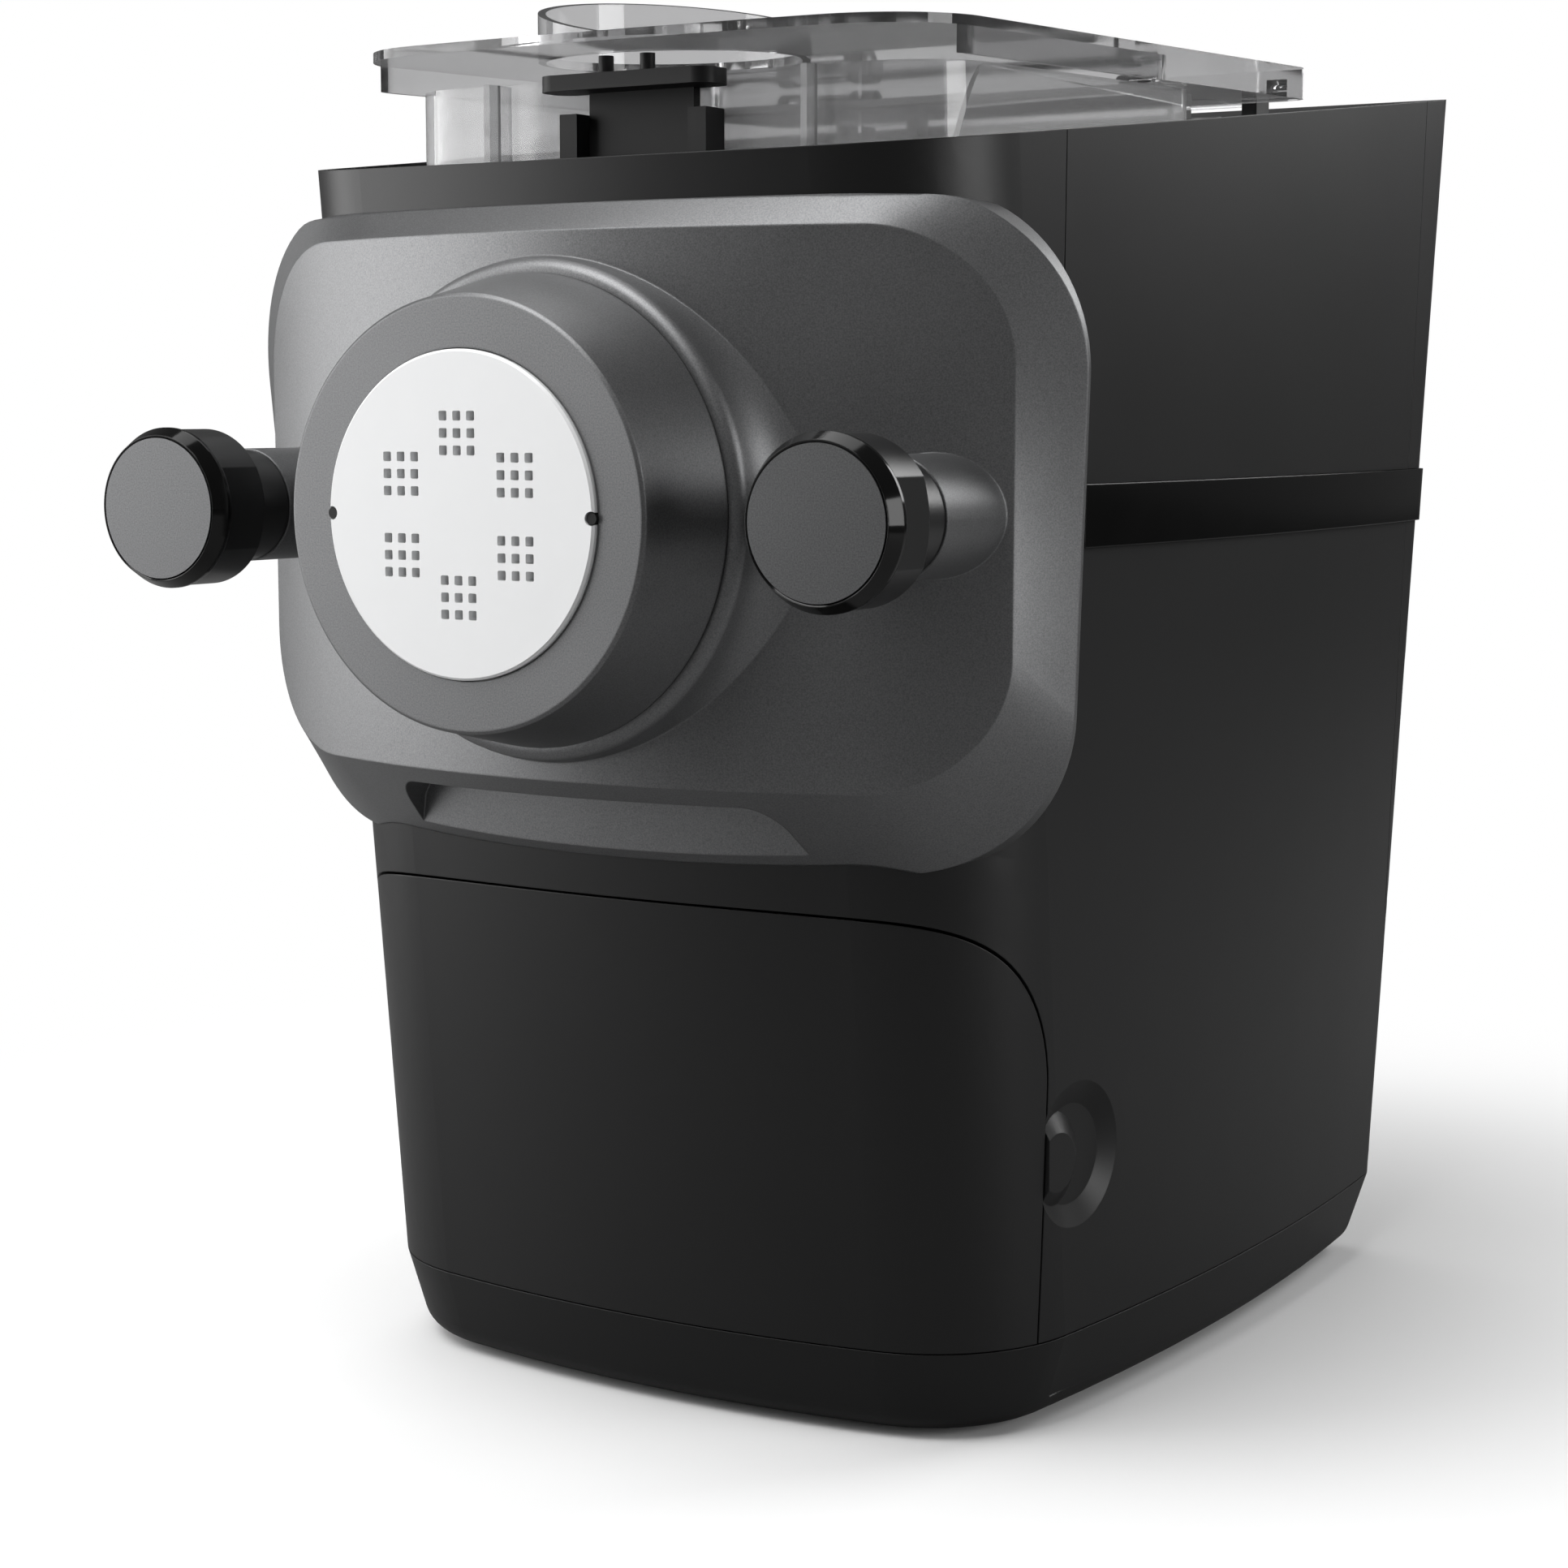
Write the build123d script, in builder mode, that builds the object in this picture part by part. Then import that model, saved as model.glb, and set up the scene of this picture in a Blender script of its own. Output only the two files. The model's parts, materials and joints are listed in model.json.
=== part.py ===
"""Electric pasta maker: a tapered countertop body with a removable front panel,
a shaping disc held by a ring, two clamping knobs, a mixing chamber with a hinged
lid, a geared drive and a drawer. Millimetres, +Z up, origin at the middle of the
footprint on the floor, front towards -Y."""
import os
from math import atan, cos, pi, radians, sin, sqrt, tan

from build123d import *

os.makedirs("parts", exist_ok=True)

# ---- clearances ---------------------------------------------------------
seam_gap = 0.4            # visible joint between two mouldings
slip_gap = 0.3            # between pieces that seat on each other's curved faces
running_gap = 0.06        # radial, shaft in bearing
sliding_gap = 0.6         # around the drawer and the buttons
through = 1.0             # how far a cut runs past the wall it goes through
far = 400.0               # past every side of the body

# ---- body outline -------------------------------------------------------
seam_z = 26.0             # joint between base tray and housing
reference_z = 347.0       # height at which the high sizes hold
half_width_low = 118.0
half_width_high = 118.8
depth_low = 263.8         # front wall to rear wall at the seam
front_lean = 0.105        # mm forward per mm up
rear_lean = 0.1355        # mm backward per mm up
corner_half = 102.5       # where front and side curves would meet
front_bow = 13.6          # how far that point lies behind the front
corner_inset_x = 0.874    # that point moves in by these shares of the inset
corner_inset_y = 0.801
widest_share = 0.69       # how far back the body is widest
rear_pinch = 3.4
rear_bow = 3.0
front_corner_radius = 46.0
rear_corner_radius = 12.0
wall = 2.6
rim_front_z = 335.2       # top edge at the front
rim_slope = 0.111         # rise of the top edge per mm towards the rear
cap_reach = 73.7          # knob caps ahead of the front wall at the seam
disc_proud = 2.3          # shaping disc ahead of the knob caps
front_rim_depth = 40.0    # front of the top edge behind the knob caps

# ---- overall place: the footprint's middle is the origin -----------------
rim_rise = rim_front_z - front_rim_depth * rim_slope
back_low_from_caps = cap_reach + depth_low
rear_top_from_caps = (back_low_from_caps + rear_lean * (rim_rise - seam_z)) / (1 - rear_lean * rim_slope)
cap_y = disc_proud - (rear_top_from_caps + disc_proud) / 2
front_low_y = cap_y + cap_reach
back_low_y = front_low_y + depth_low

# ---- axes and seams ------------------------------------------------------
axis_z = 247.0            # drive, disc and knob axis height
shell_seam_y = cap_y + 107.8    # side joint of the upper front shell and drawer front
shell_shelf_z = 182.0     # lower edge of the upper front shell
rear_cover_depth = 7.5    # rear cover at the seam height
rear_seam_y = back_low_y - rear_cover_depth
rear_seam_lean = 0.062
rear_top_y = cap_y + rear_top_from_caps
high_z = 400.0            # above everything that is cut by the rim plane

# ---- base tray and feet --------------------------------------------------
foot_height = 2.0         # foot below the tray
foot_radius = 9.0
foot_recess = 3.0
foot_x = 74.0
foot_front_y = front_low_y + 48.0
foot_back_y = back_low_y - 34.0
tray_inset = 7.0          # how far the tray floor is drawn in
tray_edge_radius = 9.0
tray_floor = 3.0
tray_wall = 3.0
boss_radius = 15.0
boss_height = 4.0
cell_length = 44.0
cell_width = 12.7
cell_height = 8.0


def front_y(z):
    """Front wall at the middle of the body, at height z."""
    return front_low_y - front_lean * (z - seam_z)


def back_y(z):
    """Rear wall at the middle of the body, at height z."""
    return back_low_y + rear_lean * (z - seam_z)


def half_width(z):
    """Largest half width of the body at height z."""
    return half_width_low + (half_width_high - half_width_low) * (z - seam_z) / (reference_z - seam_z)


def rim_z(y):
    """Height of the sloping top edge at depth y."""
    return rim_rise + rim_slope * (y - cap_y)


def behind(distance):
    """Depth of a point this far behind the knob caps."""
    return cap_y + distance


def body_outline(z, inset=0.0):
    """Plan outline of the body at height z, or parallel to it, for the open sketch."""
    half = half_width(z) - inset
    front = front_y(z) + inset
    back = back_y(z) - inset
    widest = front + widest_share * (back - front)
    corner_x = corner_half - corner_inset_x * inset
    corner_y = front_y(z) + front_bow + corner_inset_y * inset
    rear_half = half - rear_pinch
    rear_y = back - rear_bow
    with BuildLine() as outline:
        ThreePointArc((-corner_x, corner_y), (0, front), (corner_x, corner_y))
        ThreePointArc((corner_x, corner_y), (half, widest), (rear_half, rear_y))
        ThreePointArc((rear_half, rear_y), (0, back), (-rear_half, rear_y))
        ThreePointArc((-rear_half, rear_y), (-half, widest), (-corner_x, corner_y))
    make_face(outline.edges())
    fillet(vertices().group_by(Axis.Y)[0], front_corner_radius - inset)
    fillet(vertices().group_by(Axis.Y)[-1], rear_corner_radius - inset)


def body_block(low, high, inset=0.0, mode=Mode.ADD):
    """Tapered block of the body between two heights, for the open part."""
    with BuildSketch(Plane.XY.offset(low)) as lower:
        body_outline(low, inset)
    with BuildSketch(Plane.XY.offset(high)) as upper:
        body_outline(high, inset)
    loft([lower.sketch, upper.sketch], ruled=True, mode=mode)


rim_plane = Plane(origin=(0, cap_y, rim_rise), x_dir=(1, 0, 0), z_dir=(0, -rim_slope, 1))
rear_plane = Plane(origin=(0, rear_seam_y, seam_z), x_dir=(1, 0, 0), z_dir=(0, 1, -rear_seam_lean))


def block(x_size, y_low, y_high, z_low, z_high, x=0.0, mode=Mode.ADD):
    """Box between two depths and two heights, for the open part."""
    with Locations((x, (y_low + y_high) / 2, (z_low + z_high) / 2)):
        Box(x_size, y_high - y_low, z_high - z_low, mode=mode)


def rod_along_y(radius, y_low, y_high, x=0.0, z=axis_z, mode=Mode.ADD):
    """Cylinder along Y between two depths, for the open part."""
    with Locations((x, (y_low + y_high) / 2, z)):
        Cylinder(radius, y_high - y_low, rotation=(90, 0, 0), mode=mode)


def bore_along_y(radius, y_low, y_high, x=0.0, z=axis_z):
    """Round hole along Y that runs a little past both depths, for the open part."""
    rod_along_y(radius, y_low - through, y_high + through, x=x, z=z, mode=Mode.SUBTRACT)


def finish(piece, name):
    """Label a finished piece and write its STEP file."""
    piece.part.label = name
    export_step(piece.part, "parts/" + name + ".step")


# ==== base tray ===========================================================
tray_bottom = foot_height
with BuildPart() as base_tray:
    with BuildSketch(Plane.XY.offset(tray_bottom)):
        body_outline(seam_z, tray_inset)
    with BuildSketch(Plane.XY.offset(seam_z)):
        body_outline(seam_z)
    loft(ruled=True)
    fillet(base_tray.edges().group_by(Axis.Z)[0], tray_edge_radius)
    with BuildSketch(Plane.XY.offset(tray_bottom + tray_floor)):
        body_outline(seam_z, tray_inset + tray_wall)
    with BuildSketch(Plane.XY.offset(seam_z)):
        body_outline(seam_z, tray_wall)
    loft(ruled=True, mode=Mode.SUBTRACT)
    foot_places = [(x, y) for x in (-foot_x, foot_x) for y in (foot_front_y, foot_back_y)]
    with Locations(*[(x, y, tray_bottom + tray_floor) for x, y in foot_places]):
        Cylinder(boss_radius, boss_height, align=(Align.CENTER, Align.CENTER, Align.MIN))
    with Locations(*[(x, y, tray_bottom) for x, y in foot_places]):
        Cylinder(foot_radius + slip_gap, foot_recess, align=(Align.CENTER, Align.CENTER, Align.MIN),
                 mode=Mode.SUBTRACT)
finish(base_tray, "base_tray")

with BuildPart() as rubber_feet:
    with Locations(*[(x, y, 0) for x, y in foot_places]):
        Cylinder(foot_radius, foot_height + foot_recess, align=(Align.CENTER, Align.CENTER, Align.MIN))
    fillet(rubber_feet.edges().group_by(Axis.Z)[0], 0.8)
finish(rubber_feet, "rubber_feet")

cell_z = tray_bottom + tray_floor + boss_height
with BuildPart() as load_cells:
    with Locations(*[(x, y, cell_z) for x, y in foot_places]):
        Box(cell_width, cell_length, cell_height, align=(Align.CENTER, Align.CENTER, Align.MIN))
    for x, y in foot_places:
        with Locations((x, y - 4, cell_z + cell_height / 2), (x, y + 4, cell_z + cell_height / 2)):
            Cylinder(2.6, cell_width, rotation=(0, 90, 0), mode=Mode.SUBTRACT)
finish(load_cells, "load_cells")

# ==== drawer opening ======================================================
drawer_top_z = 144.0
drawer_corner = 48.0      # rounding of the side joint near the top
drawer_front_wall = 3.0


def drawer_side_profile(grow=0.0):
    """Side view of the drawer front: open to the front, rounded top rear corner."""
    y_front = front_low_y - 60
    y_back = shell_seam_y + grow
    top = drawer_top_z + grow
    low = seam_z - 20
    with BuildLine() as outline:
        Polyline((y_front, low), (y_back, low), (y_back, top - drawer_corner))
        RadiusArc((y_back, top - drawer_corner), (y_back - drawer_corner, top), -drawer_corner)
        Polyline((y_back - drawer_corner, top), (y_front, top), (y_front, low))
    make_face(outline.edges())


# ==== side scoops and trim ================================================
scoop_radius = 25.0
scoop_y = shell_seam_y + 14.2
scoop_z = 75.0
scoop_depth = 4.6
scoop_floor_share = 0.55  # floor radius by the outer radius
scoop_mound = 15.0        # low mound inside the hollow, near the side joint
scoop_mound_top = 8.0
scoop_mound_shift = -9.7
scoop_wall_x = 110.6      # side wall at the scoop's middle
scoop_turn = 0.139        # the wall's slope in plan there
trim_low_z = 237.0
trim_high_z = 253.5
trim_front_y = behind(118.0)
trim_fit = 0.1            # between a band and its groove
trim_proud = 1.2
trim_sunk = 0.8
trim_end_x = 98.0


def scoop_plane(side):
    """Plane on the side wall at the scoop's middle, facing outwards."""
    return Plane(origin=(side * scoop_wall_x, scoop_y, scoop_z), x_dir=(side * scoop_turn, 1, 0),
                 z_dir=(side, -scoop_turn, 0))


def scoop(side, grow, mode):
    """Hollow of the finger scoop in the side wall, for the open part."""
    with BuildSketch(scoop_plane(side).offset(-scoop_depth - grow)) as inner:
        Circle(scoop_radius * scoop_floor_share + grow)
    with BuildSketch(scoop_plane(side).offset(through)) as outer:
        Circle(scoop_radius + through + grow)
    loft([inner.sketch, outer.sketch], mode=mode)


def trim_band(side, grow=0.0):
    """One side band as a part of its own, grown for its groove."""
    with BuildPart() as band:
        body_block(trim_low_z - grow, trim_high_z + grow, -trim_proud - grow)
        body_block(trim_low_z - grow, trim_high_z + grow, trim_sunk + grow, mode=Mode.SUBTRACT)
        block(far, -far, trim_front_y - grow, 0, high_z, mode=Mode.SUBTRACT)
        block(far + 2 * (trim_end_x - grow), -far, far, 0, high_z, x=-side * far / 2, mode=Mode.SUBTRACT)
    return band.part


# ==== main housing ========================================================
housing_groove_left = trim_band(-1, trim_fit)
housing_groove_right = trim_band(1, trim_fit)

with BuildPart() as main_housing:
    body_block(seam_z + seam_gap, high_z)
    body_block(seam_z + seam_gap, high_z, wall, mode=Mode.SUBTRACT)
    for side in (-1, 1):
        scoop(side, wall, Mode.ADD)
    body_block(seam_z + seam_gap, high_z, mode=Mode.INTERSECT)
    for side in (-1, 1):
        scoop(side, 0, Mode.SUBTRACT)
        with BuildSketch(scoop_plane(side).offset(-scoop_depth - through)) as mound_low:
            with Locations((scoop_mound_shift, 0)):
                Circle(scoop_mound)
        with BuildSketch(scoop_plane(side).offset(-scoop_depth / 4)) as mound_high:
            with Locations((scoop_mound_shift, 0)):
                Circle(scoop_mound_top)
        loft([mound_low.sketch, mound_high.sketch])
    split(bisect_by=rim_plane, keep=Keep.BOTTOM)
    split(bisect_by=rear_plane.offset(-seam_gap / 2), keep=Keep.BOTTOM)
    block(far, -far, shell_seam_y + seam_gap / 2, shell_shelf_z, high_z, mode=Mode.SUBTRACT)
    with BuildSketch(Plane.YZ.offset(-far / 2)) as drawer_hole:
        drawer_side_profile(seam_gap)
    extrude(drawer_hole.sketch, amount=far, mode=Mode.SUBTRACT)
    add(housing_groove_left, mode=Mode.SUBTRACT)
    add(housing_groove_right, mode=Mode.SUBTRACT)
finish(main_housing, "main_housing")

for side, side_name in ((-1, "left"), (1, "right")):
    with BuildPart() as side_trim:
        add(trim_band(side))
    finish(side_trim, "side_trim_" + side_name)

# ==== upper front shell ===================================================
tube_radius = 43.0        # extrusion tube, outside
tube_bore = 37.0
rod_radius = 5.0          # tie rods that the knobs clamp on
knob_x = 100.0

with BuildPart() as upper_front_shell:
    body_block(shell_shelf_z + seam_gap, high_z)
    body_block(shell_shelf_z + seam_gap, high_z, wall, mode=Mode.SUBTRACT)
    split(bisect_by=rim_plane, keep=Keep.BOTTOM)
    block(far, shell_seam_y - seam_gap / 2, far, 0, high_z, mode=Mode.SUBTRACT)
    bore_along_y(tube_radius + sliding_gap, front_y(high_z), front_y(axis_z) + front_bow)
    for x in (-knob_x, knob_x):
        bore_along_y(rod_radius + sliding_gap, front_y(high_z), shell_seam_y, x=x)
finish(upper_front_shell, "upper_front_shell")

# ==== rear cover ==========================================================
vent_width = 3.0
vent_height = 26.0
vent_pitch = 7.0
vent_count = 15
vent_rows = (290.0, 256.0, 140.0, 106.0)
switch_x = -70.0
inlet_x = 70.0
rear_fitting_z = 62.0
switch_width = 22.0
switch_height = 30.0
inlet_width = 30.0
inlet_height = 24.0
rear_cut_reach = 10.0     # cuts for the rear fittings reach this far either way
screw_head_radius = 3.5
screw_shank_radius = 1.5
screw_places = [(x, z) for x in (-90.0, 90.0) for z in (40.0, 340.0)]


def rear_fitting_plane(x, z=rear_fitting_z):
    """Plane on the outside of the rear cover at a side place and a height."""
    half = half_width(z) - rear_pinch
    surface_y = back_y(z) - rear_bow * (x / half) ** 2
    turn = 2 * rear_bow * x / half ** 2
    return Plane(origin=(x, surface_y + slip_gap, z), x_dir=(1, -turn, 0), z_dir=(turn, 1, -rear_lean))


with BuildPart() as rear_cover:
    body_block(seam_z + seam_gap, high_z)
    body_block(seam_z + seam_gap, high_z, wall, mode=Mode.SUBTRACT)
    split(bisect_by=rim_plane, keep=Keep.BOTTOM)
    split(bisect_by=rear_plane.offset(seam_gap / 2), keep=Keep.TOP)
    add(housing_groove_left, mode=Mode.SUBTRACT)
    add(housing_groove_right, mode=Mode.SUBTRACT)
    with BuildSketch(Plane.XZ.offset(-far)) as vents:
        for row_z in vent_rows:
            with Locations((0, row_z)):
                with GridLocations(vent_pitch, 1, vent_count, 1):
                    SlotOverall(vent_height, vent_width, rotation=90)
    extrude(vents.sketch, amount=far, mode=Mode.SUBTRACT)
    for x, width, height in ((switch_x, switch_width, switch_height), (inlet_x, inlet_width, inlet_height)):
        with BuildSketch(rear_fitting_plane(x).offset(rear_cut_reach)):
            Rectangle(width, height)
        extrude(amount=-2 * rear_cut_reach, mode=Mode.SUBTRACT)
    for x, z in screw_places:
        with BuildSketch(rear_fitting_plane(x, z).offset(rear_cut_reach)):
            Circle(screw_shank_radius + running_gap)
        extrude(amount=-2 * rear_cut_reach, mode=Mode.SUBTRACT)
finish(rear_cover, "rear_cover")

# ==== mixing chamber sizes, used by the deck and the frame =================
chamber_half_top = 87.0
chamber_top_z = 360.0     # height at which that half width holds
chamber_radius = 72.5     # round bottom, outside, about the drive axis
chamber_wall = 2.5
hinge_y = rear_top_y - 68.6     # lid hinge
chamber_front_y = behind(83.0)
chamber_back_y = hinge_y - 76.0
chamber_front_corner = 24.0
chamber_back_corner = 10.0


def chamber_section(grow=0.0):
    """Front view of the tub: flaring sides on a round bottom."""
    lean = (chamber_half_top - chamber_radius) / (chamber_top_z - axis_z)
    radius = chamber_radius + grow
    tip_z = high_z
    tip_x = radius + lean * (tip_z - axis_z)
    with BuildLine() as outline:
        Line((tip_x, tip_z), (radius, axis_z))
        ThreePointArc((radius, axis_z), (0, axis_z - radius), (-radius, axis_z))
        Polyline((-radius, axis_z), (-tip_x, tip_z), (tip_x, tip_z))
    make_face(outline.edges())


def chamber_block(grow=0.0):
    """Solid tub, as a part of its own."""
    half = chamber_half_top + grow
    with BuildPart() as tub:
        with BuildSketch(Plane.XZ.offset(-chamber_back_y - grow)) as section:
            chamber_section(grow)
        extrude(section.sketch, amount=chamber_back_y - chamber_front_y + 2 * grow)
        with BuildSketch(Plane.XY) as plan:
            with Locations((0, (chamber_front_y + chamber_back_y) / 2)):
                Rectangle(2 * half, chamber_back_y - chamber_front_y + 2 * grow)
            fillet(vertices().group_by(Axis.Y)[0], chamber_front_corner + grow)
            fillet(vertices().group_by(Axis.Y)[-1], chamber_back_corner + grow)
        extrude(plan.sketch, amount=high_z + 50, mode=Mode.INTERSECT)
    return tub.part


# ==== top deck ============================================================
deck_drop = 3.0           # below the rim
deck_thickness = 2.5
well_front_y = behind(62.0)
well_half = chamber_half_top + 3.0
well_back_y = chamber_back_y + 2.0
display_y = rear_top_y - 42.0
display_width = 104.0
display_depth = 20.0
button_y = rear_top_y - 20.0
button_radius = 6.5
button_x = (-34.0, 0.0, 34.0)
hinge_z = 371.5
hinge_barrel = 4.2
hinge_pin_radius = 2.0
hinge_x = 60.0
hinge_length = 20.0
ear_thickness = 5.0
ear_gap = 0.8
deck_plane = rim_plane.offset(-deck_drop)
slope_length = sqrt(1 + rim_slope ** 2)


def on_deck(y):
    """Distance along the sloping deck for a depth y."""
    return (y - cap_y) * slope_length


with BuildPart() as top_deck:
    body_block(300, high_z, wall + slip_gap)
    split(bisect_by=deck_plane, keep=Keep.BOTTOM)
    split(bisect_by=deck_plane.offset(-deck_thickness), keep=Keep.TOP)
    with BuildSketch(Plane.XY.offset(280)) as well:
        with Locations((0, (well_front_y + well_back_y) / 2)):
            RectangleRounded(2 * well_half, well_back_y - well_front_y, 12)
    extrude(well.sketch, amount=140, mode=Mode.SUBTRACT)
    with BuildSketch(deck_plane) as display_seat:
        with Locations((0, on_deck(display_y))):
            RectangleRounded(display_width + 2 * slip_gap, display_depth + 2 * slip_gap, 5)
        with Locations(*[(x, on_deck(button_y)) for x in button_x]):
            Circle(button_radius + sliding_gap / 2)
    extrude(display_seat.sketch, amount=-10, mode=Mode.SUBTRACT)
    ear_offset = hinge_length / 2 + ear_gap + ear_thickness / 2
    for x in (-hinge_x - ear_offset, -hinge_x + ear_offset, hinge_x - ear_offset, hinge_x + ear_offset):
        ear_low = rim_z(hinge_y) - deck_drop - deck_thickness
        block(ear_thickness, hinge_y - 5, hinge_y + 5, ear_low, hinge_z, x=x)
        with Locations((x, hinge_y, hinge_z)):
            Cylinder(5, ear_thickness, rotation=(0, 90, 0))
    for side in (-1, 1):
        with Locations((side * hinge_x, hinge_y, hinge_z)):
            Cylinder(hinge_pin_radius, hinge_length + 40, rotation=(0, 90, 0), mode=Mode.SUBTRACT)
finish(top_deck, "top_deck")

with BuildPart() as lid_hinge_pins:
    for side in (-1, 1):
        with Locations((side * hinge_x, hinge_y, hinge_z)):
            Cylinder(hinge_pin_radius, hinge_length + 2 * ear_gap + 2 * ear_thickness, rotation=(0, 90, 0))
finish(lid_hinge_pins, "lid_hinge_pins")

with BuildPart() as display_window:
    with BuildSketch(deck_plane.offset(-2.2)) as glass:
        with Locations((0, on_deck(display_y))):
            RectangleRounded(display_width, display_depth, 5)
    extrude(glass.sketch, amount=2.5)
finish(display_window, "display_window")

with BuildPart() as control_board:
    with BuildSketch(deck_plane.offset(-8.0)) as board:
        with Locations((0, on_deck((display_y + button_y) / 2) - 2)):
            Rectangle(126, 34)
    extrude(board.sketch, amount=1.6)
    with BuildSketch(deck_plane.offset(-6.4)) as screen:
        with Locations((0, on_deck(display_y) - 1)):
            Rectangle(90, 15)
    extrude(screen.sketch, amount=4.2)
    with BuildSketch(deck_plane.offset(-6.4)) as posts:
        with Locations((-60, on_deck(button_y) - 10), (60, on_deck(button_y) - 10)):
            Circle(2.5)
    extrude(posts.sketch, amount=3.9)
    with BuildSketch(deck_plane.offset(-6.4)) as switches:
        with Locations(*[(x, on_deck(button_y)) for x in button_x]):
            Rectangle(6, 6)
    extrude(switches.sketch, amount=2.0)
finish(control_board, "control_board")

button_names = ("program_button", "start_button", "menu_button")
for x, button_name in zip(button_x, button_names):
    with BuildPart() as push_button:
        with BuildSketch(deck_plane.offset(-deck_thickness)) as cap:
            with Locations((x, on_deck(button_y))):
                Circle(button_radius)
        extrude(cap.sketch, amount=deck_thickness + 1.6)
        fillet(push_button.edges().sort_by(Axis.Z)[-1], 0.7)
        with BuildSketch(deck_plane.offset(-2.9)) as stem:
            with Locations((x, on_deck(button_y))):
                Circle(2.0)
        extrude(stem.sketch, amount=0.6)
    finish(push_button, button_name)


def turned(points, x=0.0, z=axis_z, mode=Mode.ADD):
    """Piece turned about an axis along Y, from (radius, distance behind the caps) points."""
    with BuildSketch(Plane.XY.offset(z)) as half:
        with BuildLine() as outline:
            Polyline(*[(x + radius, behind(distance)) for radius, distance in points], close=True)
        make_face(outline.edges())
    revolve(half.sketch, axis=Axis((x, 0, z), (0, 1, 0)), mode=mode)


# ==== front panel =========================================================
panel_front = 33.0        # face behind the knob caps, at the middle
panel_half = 127.5        # half way up
panel_low = 155.5
panel_high = 327.0
panel_corner = 44.0
panel_rim_taper = 5.0     # how much wider above and narrower below
panel_rim_front = 52.3    # outer edge of the bevel behind the knob caps, half way up
panel_rim_lean = 0.084    # mm forward per mm up
panel_rim_bow = 293.0     # radius of the rim's curve
panel_face_half = panel_half - 10.8
panel_face_low = panel_low + 22.8
panel_face_high = panel_high - 9.8
panel_face_corner = panel_corner - 10.4
panel_face_bow = 222.0    # radius of the face's curve
panel_wall = 3.0
panel_back = 83.0
panel_back_lean = 0.055
collar_radius = 78.0      # hollow flare round the disc ring
collar_top = 60.2         # radius of its front face
collar_mid = (67.0, 39.5)
collar_front = 27.0
collar_back = 47.0
collar_hole = 40.0
collar_end = 50.0
knob_boss_radius = 15.2
knob_boss_front = 35.0
pocket_top = 173.5        # finger pocket in the lower bevel
pocket_low_half = 64.0
pocket_top_half = 59.0
pocket_corner = 9.0


def bulged_slab(half, low, high, corner, taper, front, bow, lean, back):
    """Rounded block, narrower below by the taper, with a slightly leaning cylinder as its front."""
    middle = (low + high) / 2
    with BuildPart() as slab:
        with BuildSketch(Plane.XZ.offset(-behind(back))) as face:
            with BuildLine() as outline:
                Polyline((-half + taper, low), (half - taper, low), (half + taper, high), (-half - taper, high),
                         close=True)
            make_face(outline.edges())
            fillet(vertices(), corner)
        extrude(face.sketch, amount=back + 20)
        bulge_plane = Plane(origin=(0, behind(front), middle), x_dir=(1, 0, 0), z_dir=(0, -lean, 1))
        with BuildSketch(bulge_plane) as bulge:
            with Locations((0, bow)):
                Circle(bow)
        extrude(bulge.sketch, amount=far, both=True, mode=Mode.INTERSECT)
    return slab.part


def panel_form(inset, back):
    """Face, bevel and rim of the front panel as one part, drawn in by the inset."""
    deep = panel_back + 50
    face = bulged_slab(panel_face_half - inset, panel_face_low + inset, panel_face_high - inset,
                       panel_face_corner - inset, 0, panel_front + inset, panel_face_bow, 0, deep)
    rim = bulged_slab(panel_half - inset, panel_low + inset, panel_high - inset, panel_corner - inset,
                      panel_rim_taper, panel_rim_front + inset, panel_rim_bow, panel_rim_lean, deep)
    wires = [slab.faces().sort_by(Axis.Y)[0].outer_wire() for slab in (face, rim)]
    back_plane = Plane(origin=(0, behind(back), (panel_low + panel_high) / 2), x_dir=(1, 0, 0),
                       z_dir=(0, 1, panel_back_lean))
    with BuildPart() as form:
        add(rim)
        add(face)
        add(Solid.make_loft(wires, ruled=True))
        split(bisect_by=back_plane, keep=Keep.BOTTOM)
    return form.part


def pocket_block(grow):
    """Room of the finger pocket under the panel's lower edge, as a part of its own."""
    low = panel_low - 5
    with BuildPart() as pocket:
        with BuildSketch(Plane.XZ.offset(-behind(panel_back))) as mouth:
            with BuildLine() as outline:
                Polyline((-pocket_low_half - grow, low), (-pocket_top_half - grow, pocket_top + grow),
                         (pocket_top_half + grow, pocket_top + grow), (pocket_low_half + grow, low), close=True)
            make_face(outline.edges())
            fillet(vertices().group_by(Axis.Y)[-1], pocket_corner + grow)
        extrude(mouth.sketch, amount=panel_back)
        body_block(panel_low - 20, high_z, grow - slip_gap - panel_wall, mode=Mode.SUBTRACT)
    return pocket.part


panel_outside = panel_form(0, panel_back)
panel_inside = panel_form(panel_wall, panel_back - panel_wall)

with BuildPart() as pocket_backing:
    add(pocket_block(panel_wall))
    add(panel_outside, mode=Mode.INTERSECT)

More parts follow.
